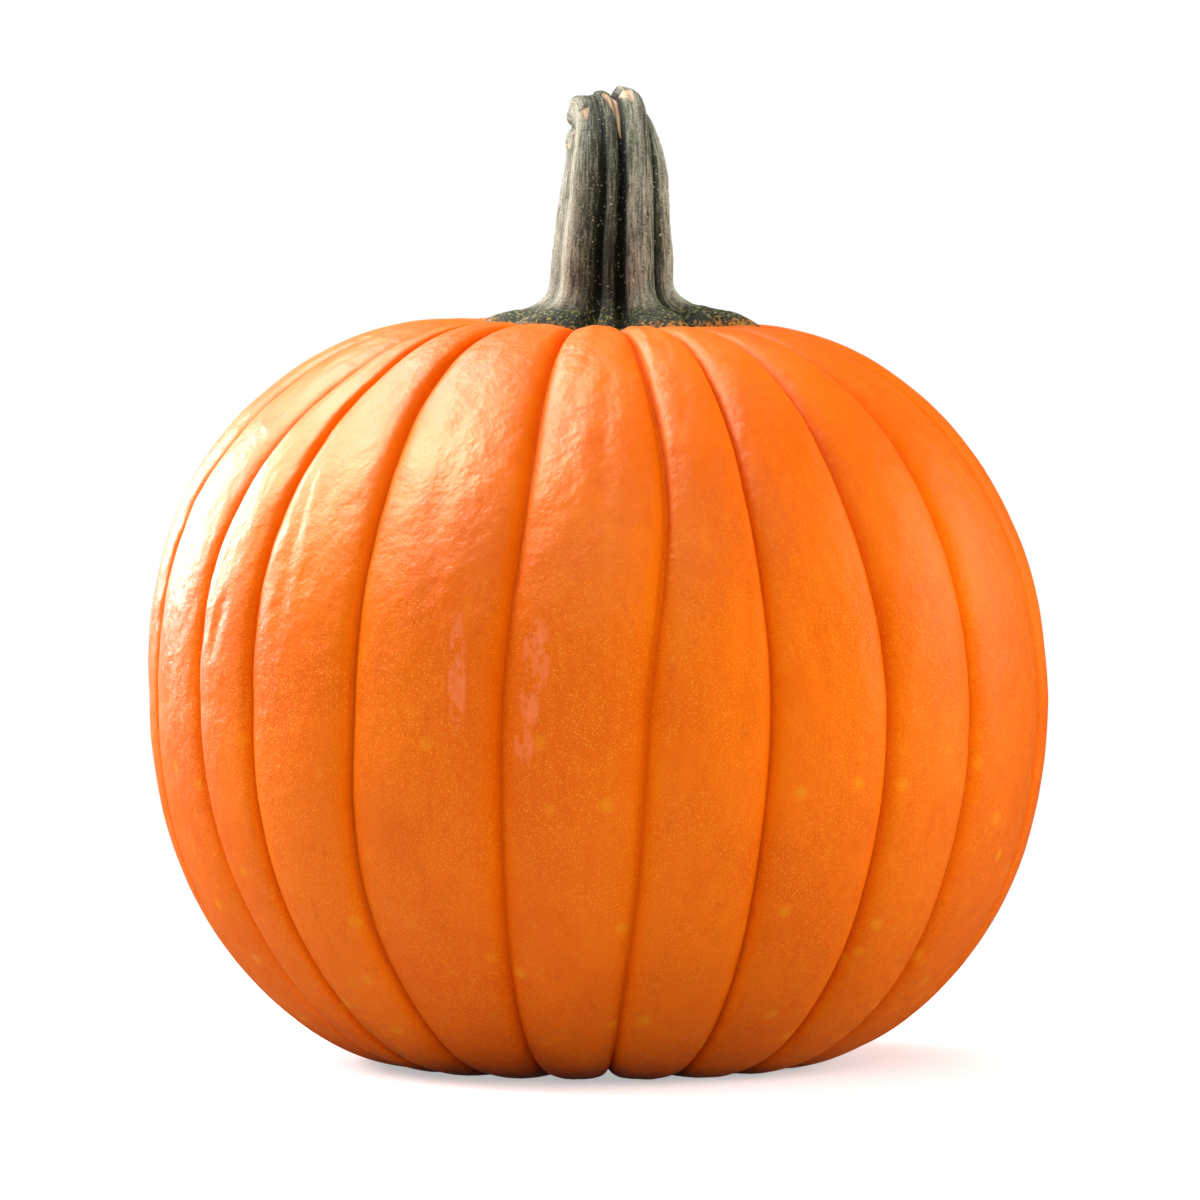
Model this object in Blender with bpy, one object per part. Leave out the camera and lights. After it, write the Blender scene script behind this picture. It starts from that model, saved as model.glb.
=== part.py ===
"""A ripe carving pumpkin: the ribbed fruit, and the ridged woody stem that it was cut with.

Metres, +Z up, front towards -Y. The origin is on the ground, under the middle of the bounding box.
"""

import math

import bmesh
import bpy
import numpy as np

# The fruit's meridian: a superellipse, a little fuller above its widest level than below it.
FRUIT_RADIUS = 0.1515
WIDEST_LEVEL = 0.1236
CROWN_RISE = 0.1355
BASE_DROP = 0.1422
CROWN_POWER = 2.30
BASE_POWER = 2.20
DEPTH_LOSS = 0.018  # the fruit is this share shallower, front to back, than it is wide

# Hollows at the two ends of the axis.
STEM_HOLLOW_DEPTH = 0.0185
STEM_HOLLOW_SPREAD = 0.046
BLOSSOM_HOLLOW_DEPTH = 0.006
BLOSSOM_HOLLOW_SPREAD = 0.022

# Its own weight has settled the underside, so it is nearly level this far from the axis.
SETTLED_RISE = 0.0175
SETTLED_SPREAD = 0.068

# The crown leans: it is lower at the right and the front, and the left shoulder is fuller.
LEAN_RIGHT = 0.021
LEAN_FRONT = 0.030
SHOULDER_FULLNESS = 0.016

# Furrows, as azimuths in degrees from the front, + to the right, at the five levels below.
FURROW_LEVELS = (-0.90, -0.45, 0.0, 0.60, 0.95)
FRONT_FURROWS = (
    (-82.0, -81.0, -79.5, -76.0, -75.0),
    (-57.0, -59.5, -61.5, -58.0, -52.0),
    (-48.0, -49.5, -50.0, -48.0, -45.5),
    (-32.5, -34.3, -33.0, -32.2, -34.5),
    (-15.0, -13.2, -12.5, -10.2, -10.5),
    (2.6, 5.0, 6.3, 9.8, 9.0),
    (21.5, 21.4, 22.2, 21.3, 22.7),
    (40.0, 39.2, 39.5, 37.3, 38.0),
    (56.5, 54.5, 55.0, 54.0, 53.5),
    (78.0, 79.5, 80.0, 78.5, 77.0),
)
BACK_FURROWS = (96.0, 114.0, 130.0, 148.0, 164.0, 181.0, 199.0, 214.0, 232.0, 248.0, 265.0)
BACK_FURROW_SWAY = 1.6

# A lobe's cross-section: a crowned back, and a narrow furrow beside it.
LOBE_CROWN = 0.0024
FURROW_DEPTH = 0.0030
FURROW_WIDTH = 0.13  # as a share of half a lobe
MEAN_LOBE = 17.1

FRUIT_RINGS = 27
COLUMNS_PER_LOBE = 6

# The stem's axis: points in millimetres right of, behind and above the middle of the widest level.
STEM_AXIS = (
    (4.4, 1.0, 120.0),
    (4.6, 0.5, 139.0),
    (5.2, 1.5, 156.0),
    (5.8, 5.0, 170.5),
    (5.4, 11.5, 181.5),
    (4.2, 20.0, 188.0),
    (1.5, 29.0, 190.0),
)
STEM_RADII = (22.8, 21.6, 20.2, 18.7, 17.0, 15.8, 15.6)
STEM_VALLEYS = (-98.0, -60.0, -12.0, 11.0, 49.0, 90.0, 133.0, 178.0, 219.0)
RIDGE_HEIGHTS = (0.8, 1.0, 0.35, 1.0, 0.8, 0.9, 0.75, 0.9, 0.8)
ROOT_REACH = (0.041, 0.033, 0.024, 0.031, 0.046, 0.036, 0.040, 0.035, 0.038)
VALLEY_DEPTH = 0.20
COLUMNS_PER_RIDGE = 6
ROOT_RISE = 0.018
ROOT_EDGE = 0.0014
ROOT_RINGS = 6
SHAFT_RINGS = 15
STEM_SINK = 0.006
END_HOLLOW = 0.0035

JOINT_GAP = 0.0003


def clear_scene():
    for leftover in list(bpy.data.objects):
        bpy.data.objects.remove(leftover)


def smoothstep(x):
    x = np.clip(x, 0.0, 1.0)
    return x * x * (3.0 - 2.0 * x)


def smooth_curve(knots, values, x):
    """A Catmull-Rom curve through values at rising knots, held level past both ends."""
    knots = np.asarray(knots, float)
    values = np.asarray(values, float)
    slopes = np.gradient(values, knots, axis=0)
    x = np.clip(x, knots[0], knots[-1])
    left = np.clip(np.searchsorted(knots, x) - 1, 0, len(knots) - 2)
    width = knots[left + 1] - knots[left]
    t = (x - knots[left]) / width
    if values.ndim > 1:
        t = t[:, None]
        width = width[:, None]
    rise = values[left] * (2 * t**3 - 3 * t**2 + 1) + values[left + 1] * (3 * t**2 - 2 * t**3)
    return rise + width * (slopes[left] * (t**3 - 2 * t**2 + t) + slopes[left + 1] * (t**3 - t**2))


def meridian(count):
    """Radii and heights of count points, evenly spaced along the meridian from crown to base."""
    angle = np.linspace(math.pi / 2, -math.pi / 2, 4001)
    power = np.where(angle >= 0.0, CROWN_POWER, BASE_POWER)
    radius = FRUIT_RADIUS * np.cos(angle).clip(0.0) ** (2.0 / power)
    reach = np.abs(np.sin(angle)) ** (2.0 / power)
    crown = CROWN_RISE * reach - STEM_HOLLOW_DEPTH * np.exp(-((radius / STEM_HOLLOW_SPREAD) ** 2))
    hollow = BLOSSOM_HOLLOW_DEPTH * np.exp(-((radius / BLOSSOM_HOLLOW_SPREAD) ** 2))
    settled = SETTLED_RISE * np.exp(-((radius / SETTLED_SPREAD) ** 3))
    base = hollow + settled - BASE_DROP * reach
    height = np.where(angle >= 0.0, crown, base)
    step = np.hypot(np.diff(radius), np.diff(height))
    travelled = np.concatenate([[0.0], np.cumsum(step)])
    wanted = np.linspace(0.0, travelled[-1], count)
    return np.interp(wanted, travelled, radius), np.interp(wanted, travelled, height)


def furrow_azimuths(height):
    """Azimuth in degrees of every furrow, at heights above the widest level: one row per height."""
    level = np.where(height > 0.0, height / CROWN_RISE, height / BASE_DROP)
    columns = [smooth_curve(FURROW_LEVELS, furrow, level) for furrow in FRONT_FURROWS]
    for number, azimuth in enumerate(BACK_FURROWS):
        columns.append(azimuth + BACK_FURROW_SWAY * np.sin(2.4 * level + 1.9 * number))
    return np.stack(columns, axis=1)


def lobe_dip(share, width):
    """How far the skin lies below a lobe's crest, at a share of the way across a lobe this wide."""
    edge = np.abs(2.0 * share - 1.0)
    crown = LOBE_CROWN * width / MEAN_LOBE * edge**2
    return crown + FURROW_DEPTH * np.exp((edge - 1.0) / FURROW_WIDTH)


def fruit_grid(rings, columns_per_lobe):
    """Points of the skin in rings from crown to base, with a column in every furrow."""
    radius, height = meridian(rings)
    slope = np.stack([np.gradient(radius), np.gradient(height)], axis=1)
    slope /= np.linalg.norm(slope, axis=1, keepdims=True)
    furrows = furrow_azimuths(height)
    following = np.concatenate([furrows[:, 1:], furrows[:, :1] + 360.0], axis=1)
    share = np.arange(columns_per_lobe) / columns_per_lobe
    width = (following - furrows)[:, :, None]
    azimuth = np.radians(furrows[:, :, None] + width * share).reshape(rings, -1)
    dip = lobe_dip(share, width).reshape(rings, -1) * smoothstep(radius / 0.055)[:, None]
    out = radius[:, None] + dip * slope[:, 1:]
    up = height[:, None] - dip * slope[:, :1]
    out = out * (1.0 - DEPTH_LOSS * np.cos(azimuth) ** 2)
    x = out * np.sin(azimuth)
    y = -out * np.cos(azimuth)
    share_up = np.clip(up / CROWN_RISE, 0.0, 1.0)
    leaning = smoothstep(share_up)
    z = up + leaning * (LEAN_FRONT * y - LEAN_RIGHT * x)
    x = x * (1.0 - SHOULDER_FULLNESS * np.sin(math.pi * share_up) * x / FRUIT_RADIUS)
    return np.stack([x, y, np.maximum(z + WIDEST_LEVEL, 0.0)], axis=2)


def mesh_from_rings(name, rings, top, bottom):
    """A closed mesh: rings of points from top to bottom, and a point that closes each end."""
    mesh = bpy.data.meshes.new(name)
    bm = bmesh.new()
    layers = [[bm.verts.new(point) for point in ring] for ring in rings]
    top_point = bm.verts.new(top)
    bottom_point = bm.verts.new(bottom)
    around = len(layers[0])
    for column in range(around):
        after = (column + 1) % around
        bm.faces.new((top_point, layers[0][column], layers[0][after]))
        bm.faces.new((bottom_point, layers[-1][after], layers[-1][column]))
        for upper, lower in zip(layers, layers[1:]):
            bm.faces.new((upper[column], lower[column], lower[after], upper[after]))
    bmesh.ops.recalc_face_normals(bm, faces=bm.faces)
    bmesh.ops.triangulate(bm, faces=bm.faces)
    bm.to_mesh(mesh)
    bm.free()
    return mesh


def fruit_mesh(name):
    grid = fruit_grid(FRUIT_RINGS, COLUMNS_PER_LOBE)
    return mesh_from_rings(name, grid[1:-1], grid[0, 0], grid[-1, 0])


def skin_height(x, y):
    """Height of the crown at a place near the axis, furrows left out."""
    radius, height = meridian(200)
    near = height > 0.0
    out = np.hypot(x, y)
    up = np.interp(out, radius[near], height[near])
    leaning = smoothstep(np.clip(up / CROWN_RISE, 0.0, 1.0))
    return up + leaning * (LEAN_FRONT * y - LEAN_RIGHT * x) + WIDEST_LEVEL


def ridge_columns():
    """Azimuth, ridge number and share of the way across it, for each column of the stem."""
    valleys = np.array(STEM_VALLEYS)
    following = np.append(valleys[1:], valleys[0] + 360.0)
    share = np.arange(COLUMNS_PER_RIDGE) / COLUMNS_PER_RIDGE
    azimuth = valleys[:, None] + (following - valleys)[:, None] * share
    ridge = np.repeat(np.arange(len(valleys)), COLUMNS_PER_RIDGE)
    return np.radians(azimuth.ravel()), ridge, np.tile(share, len(valleys))


def stem_section(ridge, share):
    """The stem's cross-section as a share of its radius, one value per column."""
    edge = np.abs(2.0 * share - 1.0)
    height = np.array(RIDGE_HEIGHTS)[ridge]
    return 1.0 - VALLEY_DEPTH * (1.0 - height * (1.0 - edge**2.2))


def shaft_rings(azimuth, section):
    """Rings from the cut end down to the top of the root, each square to the stem's axis."""
    knots = np.linspace(0.0, 1.0, len(STEM_AXIS))
    places = np.linspace(1.0, 1.0 / (len(STEM_AXIS) - 1), SHAFT_RINGS)
    centre = smooth_curve(knots, STEM_AXIS, places) / 1000.0 + (0.0, 0.0, WIDEST_LEVEL)
    radius = smooth_curve(knots, STEM_RADII, places) / 1000.0
    ahead = smooth_curve(knots, STEM_AXIS, places - 0.01) / 1000.0 + (0.0, 0.0, WIDEST_LEVEL)
    tangent = ahead - centre
    tangent[0] = tangent[1]
    tangent /= -np.linalg.norm(tangent, axis=1, keepdims=True)
    front = np.cross((1.0, 0.0, 0.0), tangent)
    front /= np.linalg.norm(front, axis=1, keepdims=True)
    side = np.cross(tangent, front)
    across = side[:, None] * np.sin(azimuth)[None, :, None]
    across = across + front[:, None] * np.cos(azimuth)[None, :, None]
    return centre[:, None] + across * (radius[:, None] * section)[:, :, None], centre, tangent


def root_rings(top_ring, azimuth, ridge, share):
    """Rings that spread from the shaft's foot out over the crown, further along each ridge."""
    edge = np.abs(2.0 * share - 1.0)
    low = np.minimum(np.roll(ROOT_REACH, 1), ROOT_REACH)[ridge]
    reach = low + (np.array(ROOT_REACH)[ridge] - low) * (1.0 - edge**1.5)
    reach = reach - 0.004 * edge**2
    middle = top_ring.mean(axis=0)
    start = np.hypot(top_ring[:, 0] - middle[0], top_ring[:, 1] - middle[1])
    rings = []
    for turn in np.linspace(0.0, math.pi / 2, ROOT_RINGS + 1)[1:]:
        out = start + (reach - start) * (1.0 - math.cos(turn))
        x = middle[0] + out * np.sin(azimuth)
        y = middle[1] - out * np.cos(azimuth)
        rise = ROOT_EDGE + (top_ring[:, 2] - skin_height(x, y) - ROOT_EDGE) * (1.0 - math.sin(turn))
        rings.append(np.stack([x, y, skin_height(x, y) + rise], axis=1))
    foot = rings[-1].copy()
    foot[:, 2] -= STEM_SINK
    return rings + [foot]


def stem_mesh(name):
    azimuth, ridge, share = ridge_columns()
    shaft, centre, tangent = shaft_rings(azimuth, stem_section(ridge, share))
    root = root_rings(shaft[-1], azimuth, ridge, share)
    bottom = root[-1].mean(axis=0)
    return mesh_from_rings(name, list(shaft) + root, centre[0] - tangent[0] * END_HOLLOW, bottom)


def material(name, colour, roughness):
    made = bpy.data.materials.new(name)
    made.use_nodes = True
    shader = made.node_tree.nodes["Principled BSDF"]
    shader.inputs["Base Color"].default_value = (*colour, 1.0)
    shader.inputs["Roughness"].default_value = roughness
    shader.inputs["Metallic"].default_value = 0.0
    return made


def add_piece(mesh, finish, sharp_angle):
    piece = bpy.data.objects.new(mesh.name, mesh)
    bpy.context.scene.collection.objects.link(piece)
    mesh.materials.append(finish)
    mesh.shade_smooth()
    mesh.set_sharp_from_angle(angle=math.radians(sharp_angle))
    return piece


def add_seat_cutter(fruit):
    """The fruit grown by the joint gap, which shapes the underside of the stem."""
    cutter = fruit.copy()
    cutter.data = fruit.data.copy()
    cutter.name = "stem_seat_cutter"
    bpy.context.scene.collection.objects.link(cutter)
    grown = [vertex.co + vertex.normal * JOINT_GAP for vertex in cutter.data.vertices]
    for vertex, place in zip(cutter.data.vertices, grown):
        vertex.co = place
    cutter.hide_render = True
    cutter.display_type = "WIRE"
    return cutter


def stand_on_origin(pieces):
    """Moves the meshes so that the box round the fruit is centred on the origin."""
    box = np.array([corner[:] for corner in pieces[0].bound_box])
    shift = -(box.min(axis=0) + box.max(axis=0)) / 2.0
    for piece in pieces:
        for vertex in piece.data.vertices:
            vertex.co.x += shift[0]
            vertex.co.y += shift[1]


clear_scene()
fruit = add_piece(fruit_mesh("fruit"), material("ripe_rind", (0.75, 0.16, 0.008), 0.4), 60.0)
stem = add_piece(stem_mesh("stem"), material("stem_bark", (0.14, 0.12, 0.075), 0.8), 40.0)
seat_cutter = add_seat_cutter(fruit)
stand_on_origin((fruit, stem, seat_cutter))
seat = stem.modifiers.new("seat_on_fruit", "BOOLEAN")
seat.operation = "DIFFERENCE"
seat.solver = "EXACT"
seat.object = seat_cutter
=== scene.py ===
"""The looks of a ripe carving pumpkin: its ribbed skin, its woody stem, and a pale studio round them.

Metres, +Z up, front towards -Y. Shapes are worked out round the plant's own axis with numpy, and
then put where the construction model has them. Azimuths are in degrees from the front, + to the
right. A level is a height as a share: 0 at the widest part, 1 at the crown and -1 at the base.
"""

import math

import bpy
import numpy as np
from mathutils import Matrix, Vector


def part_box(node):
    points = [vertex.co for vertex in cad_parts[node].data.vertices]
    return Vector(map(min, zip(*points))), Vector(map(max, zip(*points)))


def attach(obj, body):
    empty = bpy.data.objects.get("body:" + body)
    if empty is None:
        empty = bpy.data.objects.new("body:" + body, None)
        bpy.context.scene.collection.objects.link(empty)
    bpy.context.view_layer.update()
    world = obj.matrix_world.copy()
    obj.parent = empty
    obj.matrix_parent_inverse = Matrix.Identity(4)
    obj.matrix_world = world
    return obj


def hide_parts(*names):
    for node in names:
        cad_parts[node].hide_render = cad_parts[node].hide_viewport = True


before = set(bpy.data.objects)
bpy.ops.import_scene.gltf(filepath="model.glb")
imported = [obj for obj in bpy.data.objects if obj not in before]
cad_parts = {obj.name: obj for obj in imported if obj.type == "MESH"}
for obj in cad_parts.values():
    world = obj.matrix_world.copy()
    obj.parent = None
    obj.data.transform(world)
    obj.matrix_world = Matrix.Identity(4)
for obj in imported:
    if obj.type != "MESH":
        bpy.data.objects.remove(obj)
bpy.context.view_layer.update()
FRUIT_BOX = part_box("fruit")
MILLIMETRE = 0.001
scene = bpy.context.scene


# ---------------------------------------------------------------- curves, noise and meshes


def smoothstep(x):
    x = np.clip(x, 0.0, 1.0)
    return x * x * (3.0 - 2.0 * x)


def turn_between(first, second):
    """How far round the first azimuth is from the second, from -180 to 180 degrees."""
    return (first - second + 180.0) % 360.0 - 180.0


def smooth_curve(knots, values, x):
    """A Catmull-Rom curve through values at rising knots, held level past both ends."""
    knots = np.asarray(knots, float)
    values = np.asarray(values, float)
    slopes = np.gradient(values, knots, axis=0)
    x = np.clip(x, knots[0], knots[-1])
    left = np.clip(np.searchsorted(knots, x) - 1, 0, len(knots) - 2)
    width = knots[left + 1] - knots[left]
    t = (x - knots[left]) / width
    if values.ndim > 1:
        t = t[:, None]
        width = width[:, None]
    rise = values[left] * (2 * t**3 - 3 * t**2 + 1) + values[left + 1] * (3 * t**2 - 2 * t**3)
    return rise + width * (slopes[left] * (t**3 - 2 * t**2 + t) + slopes[left + 1] * (t**3 - t**2))


def lattice(i, j, k, seed):
    """A repeatable number from 0 to 1 for each cell of a 3-D grid."""
    mixed = i * 374761393 + j * 668265263 + k * 2147483647 + seed * 1274126177
    mixed = (mixed ^ (mixed >> 13)) * 1274126177 & 0xFFFFFFFF
    mixed = (mixed ^ (mixed >> 16)) * 2246822519 & 0xFFFFFFFF
    return ((mixed ^ (mixed >> 15)) & 0xFFFFFF) / float(0xFFFFFF)


def noise(points, size, seed):
    """Smooth noise from -1 to 1, with lumps about this size in metres."""
    scaled = np.asarray(points) / size
    cell = np.floor(scaled).astype(np.int64)
    part = scaled - cell
    part = part * part * part * (part * (part * 6.0 - 15.0) + 10.0)
    total = 0.0
    for corner in range(8):
        step = np.array([corner & 1, corner >> 1 & 1, corner >> 2 & 1])
        at = cell + step
        weight = np.prod(np.where(step == 1, part, 1.0 - part), axis=-1)
        total = total + weight * lattice(at[..., 0], at[..., 1], at[..., 2], seed)
    return 2.0 * total - 1.0


def link(data, name):
    made = bpy.data.objects.new(name, data)
    scene.collection.objects.link(made)
    return made


def ring_faces(count, around):
    """Quads between count rings of points, and the fans of triangles that close both ends."""
    column = np.arange(around)
    after = (column + 1) % around
    upper = (np.arange(count - 1) * around)[:, None]
    lower = upper + around
    quads = np.stack([upper + column, lower + column, lower + after, upper + after], axis=2)
    top = np.full(around, count * around)
    last = (count - 1) * around
    fans = np.concatenate([
        np.stack([top, column, after], axis=1),
        np.stack([top + 1, last + after, last + column], axis=1),
    ])
    return quads.reshape(-1, 4), fans


def mesh_from_rings(name, rings, top, bottom, attributes):
    """A closed smooth mesh: rings from top to bottom, a point that closes each end, and values
    that the materials read, as name to one number per point in the same order."""
    quads, fans = ring_faces(*rings.shape[:2])
    points = np.concatenate([rings.reshape(-1, 3), [top], [bottom]])
    mesh = bpy.data.meshes.new(name)
    mesh.vertices.add(len(points))
    mesh.vertices.foreach_set("co", points.astype(np.float32).ravel())
    corners = np.concatenate([quads.ravel(), fans.ravel()])
    starts = np.concatenate([np.arange(len(quads)) * 4, quads.size + np.arange(len(fans)) * 3])
    mesh.loops.add(len(corners))
    mesh.loops.foreach_set("vertex_index", corners.astype(np.int32))
    mesh.polygons.add(len(starts))
    mesh.polygons.foreach_set("loop_start", starts.astype(np.int32))
    mesh.update(calc_edges=True)
    mesh.validate()
    mesh.shade_smooth()
    for key, values in attributes.items():
        layer = mesh.attributes.new(key, "FLOAT", "POINT")
        layer.data.foreach_set("value", values.astype(np.float32))
    return link(mesh, name)


def per_point(values, rings=slice(None)):
    """Each value as one row: that of the rings' points, then of the two points that close them."""
    return {key: np.concatenate([v[rings].ravel(), v[0, :1], v[-1, :1]]) for key, v in values.items()}


# ---------------------------------------------------------------- the fruit

# The fruit's meridian, as in the construction model.
FRUIT_RADIUS = 0.1512
WIDEST_LEVEL = 0.1236
CROWN_RISE = 0.1355
CROWN_POWER = 2.30
BASE_DROP = 0.1422
BASE_POWER = 2.20
DEPTH_LOSS = 0.018
STEM_HOLLOW_DEPTH = 0.0185
STEM_HOLLOW_SPREAD = 0.046
BLOSSOM_HOLLOW_DEPTH = 0.006
BLOSSOM_HOLLOW_SPREAD = 0.022
SETTLED_RISE = 0.0175
SETTLED_SPREAD = 0.068
LEAN_RIGHT = 0.021
LEAN_FRONT = 0.030
SHOULDER_FULLNESS = 0.016

# Azimuths of the furrows at these levels.
FURROW_LEVELS = (-0.90, -0.45, 0.0, 0.60, 0.95)
FRONT_FURROWS = (
    (-82.0, -81.0, -79.5, -76.0, -75.0),
    (-57.0, -59.5, -61.5, -58.0, -52.0),
    (-48.0, -49.5, -50.0, -48.0, -45.5),
    (-32.5, -34.3, -33.0, -32.2, -34.5),
    (-15.0, -13.2, -12.5, -10.2, -10.5),
    (2.6, 5.0, 6.3, 9.8, 9.0),
    (21.5, 21.4, 22.2, 21.3, 22.7),
    (40.0, 39.2, 39.5, 37.3, 38.0),
    (56.5, 54.5, 55.0, 54.0, 53.5),
    (78.0, 79.5, 80.0, 78.5, 77.0),
)
BACK_FURROWS = (96.0, 114.0, 130.0, 148.0, 164.0, 181.0, 199.0, 214.0, 232.0, 248.0, 265.0)
BACK_FURROW_SWAY = 1.6
BACK_FURROW_WAVES = 2.4
BACK_FURROW_STEP = 1.9

# The section of a lobe. Widths are shares of half a lobe, and the mean lobe's is in degrees.
LOBE_CROWN = 0.0017
LOBE_POWER = 2.2
SHOULDER_DIP = 0.0009
SHOULDER_WIDTH = 0.20
FURROW_DEPTH = 0.0023
FURROW_WIDTH = 0.062
FURROW_VARIES = 0.25
FURROW_VARIES_STEP = 2.3
MEAN_LOBE = 17.1
FURROWS_START_RADIUS = 0.055

# Shallow creases inside the lobes: azimuth and level at the upper end, the same at the lower
# end, depth in millimetres, and width in degrees.
CREASES = (
    (-44.5, 0.66, -43.8, 0.06, 0.8, 1.0),
    (-41.5, 0.74, -39.8, 0.38, 0.5, 1.1),
    (-23.5, 0.88, -19.8, 0.00, 0.6, 1.3),
    (-27.5, 0.62, -29.0, 0.22, 0.5, 1.2),
    (1.5, 0.90, 0.4, 0.42, 0.6, 1.4),
    (-4.5, 0.84, -5.5, 0.50, 0.35, 1.6),
    (18.8, 0.50, 17.0, -0.22, 0.45, 1.2),
    (26.0, 0.26, 31.0, -0.04, 0.45, 1.1),
    (49.5, 0.40, 50.6, 0.10, 0.5, 1.1),
    (-55.3, 0.28, -56.8, 0.10, 0.8, 0.9),
    (-70.0, 0.30, -69.0, 0.00, 0.6, 1.2),
    (75.5, -0.46, 64.5, -0.76, 0.9, 1.0),
    (104.5, 0.70, 106.0, 0.05, 0.9, 1.1),
    (122.0, 0.35, 121.0, -0.30, 0.5, 1.2),
    (139.0, 0.85, 140.5, 0.30, 0.8, 1.2),
    (156.5, 0.45, 157.5, -0.20, 0.5, 1.1),
    (172.0, 0.80, 173.5, 0.20, 0.7, 1.2),
    (190.5, 0.25, 189.0, -0.45, 0.5, 1.1),
    (206.0, 0.75, 207.5, 0.05, 0.9, 1.0),
    (223.0, 0.40, 221.5, -0.25, 0.5, 1.3),
    (240.5, 0.80, 239.0, 0.25, 0.7, 1.1),
    (257.0, 0.30, 255.5, -0.20, 0.5, 1.2),
)
CREASE_SWAY = 0.5
CREASE_WAVES = 5.0
CREASE_FADE = 0.35

# Hammered dents, drawn out on a slant round the fruit: depth in millimetres, size in metres, and
# the seed. Folded ones have sharp edges between them.
WRINKLE_SLANT = 28.0
WRINKLE_STRETCH = 0.6
FOLDED_DENTS = ((0.55, 0.0125, 3), (0.32, 0.0072, 5))
FINE_DENTS = (0.16, 0.0044, 9)
SLOW_SWELL = (0.6, 0.034, 7)
# Dents are faint below the first level, reach their full depth this much higher up, and are
# deeper on the left than in front.
DENTS_LEAST = 0.22
DENTS_FROM = -0.25
DENTS_RISE = 0.8
DENTS_IN_FRONT = 0.60
DENTS_MORE_LEFT = 0.40

# Pink patches on the skin, partly dry rubs and partly a painted highlight: azimuth, level, half width
# in degrees and half height as a level.
SCUFF_AND_HIGHLIGHT_PATCHES = (
    (-17.8, 0.10, 0.9, 0.125),
    (-7.8, 0.14, 1.5, 0.075),
    (-8.6, 0.04, 1.1, 0.060),
    (-9.4, -0.07, 1.1, 0.034),
    (137.0, 0.12, 1.2, 0.070),
    (214.5, -0.02, 1.0, 0.090),
)

# How far the painted shade in a furrow and on its flanks spreads, as a share of half a lobe.
FURROW_SHADE_REACH = 0.05
FLANK_SHADE_REACH = 0.22
# The skin turns ochre and then dark green close round the roots: how far inside a root's end the
# colour starts to fade, the width it fades over, and the level above which there is any.
ROOT_NEAR_START = 0.004
ROOT_NEAR_EDGE = 0.012
ROOT_NEAR_LEVEL = 0.2
BLOSSOM_SCAR_RADIUS = 0.004
BLOSSOM_SCAR_EDGE = 0.009

MERIDIAN_STEPS = 8001
SKIN_RINGS = 182
SKIN_COLUMNS = 26
COLUMN_CROWDING = 1.5


def meridian(count):
    """Radii and heights of count points, evenly spaced along the meridian from crown to base."""
    angle = np.linspace(math.pi / 2, -math.pi / 2, MERIDIAN_STEPS)
    power = np.where(angle >= 0.0, CROWN_POWER, BASE_POWER)
    radius = FRUIT_RADIUS * np.cos(angle).clip(0.0) ** (2.0 / power)
    reach = np.abs(np.sin(angle)) ** (2.0 / power)
    crown = CROWN_RISE * reach - STEM_HOLLOW_DEPTH * np.exp(-((radius / STEM_HOLLOW_SPREAD) ** 2))
    hollow = BLOSSOM_HOLLOW_DEPTH * np.exp(-((radius / BLOSSOM_HOLLOW_SPREAD) ** 2))
    settled = SETTLED_RISE * np.exp(-((radius / SETTLED_SPREAD) ** 3))
    base = hollow + settled - BASE_DROP * reach
    height = np.where(angle >= 0.0, crown, base)
    step = np.hypot(np.diff(radius), np.diff(height))
    travelled = np.concatenate([[0.0], np.cumsum(step)])
    wanted = np.linspace(0.0, travelled[-1], count)
    return np.interp(wanted, travelled, radius), np.interp(wanted, travelled, height)


def level_of(height):
    return np.where(height > 0.0, height / CROWN_RISE, height / BASE_DROP)


def furrow_azimuths(level):
    """Azimuth of every furrow at these levels: one row per level."""
    columns = [smooth_curve(FURROW_LEVELS, furrow, level) for furrow in FRONT_FURROWS]
    wave = BACK_FURROW_WAVES * level
    for number, azimuth in enumerate(BACK_FURROWS):
        columns.append(azimuth + BACK_FURROW_SWAY * np.sin(wave + BACK_FURROW_STEP * number))
    return np.stack(columns, axis=1)


def crowded_shares(count):
    """Places across one lobe, closer together towards its furrows."""
    place = 2.0 * np.arange(count) / count - 1.0
    edge = 1.0 - (1.0 - np.abs(place)) ** COLUMN_CROWDING
    return 0.5 + 0.5 * np.sign(place) * edge


def lobe_dip(edge, width):
    """How far the skin lies below a lobe's crest, at places from 0 at the crest to 1 in the furrow.
    Lobes lie along the second axis, and their widths are in degrees."""
    lobes = np.arange(width.shape[1])[None, :, None]
    depth = 1.0 + FURROW_VARIES * np.sin(FURROW_VARIES_STEP * lobes)
    crown = LOBE_CROWN * width / MEAN_LOBE * edge**LOBE_POWER
    shoulder = SHOULDER_DIP * np.exp((edge - 1.0) / SHOULDER_WIDTH)
    return crown + shoulder + depth * FURROW_DEPTH * np.exp((edge - 1.0) / FURROW_WIDTH)


def crease_dip(azimuth, level):
    """Depth in metres of the shallow creases at these places."""
    total = np.zeros_like(azimuth)
    for top_azimuth, top, low_azimuth, low, depth, width in CREASES:
        along = (top - level) / (top - low)
        middle = top_azimuth + (low_azimuth - top_azimuth) * along
        middle = middle + CREASE_SWAY * np.sin(CREASE_WAVES * along + top_azimuth)
        fade = smoothstep(along / CREASE_FADE) * smoothstep((1.0 - along) / CREASE_FADE)
        away = turn_between(azimuth, middle) / width
        total += depth * MILLIMETRE * fade * np.exp(-(away**2))
    return total


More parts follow.
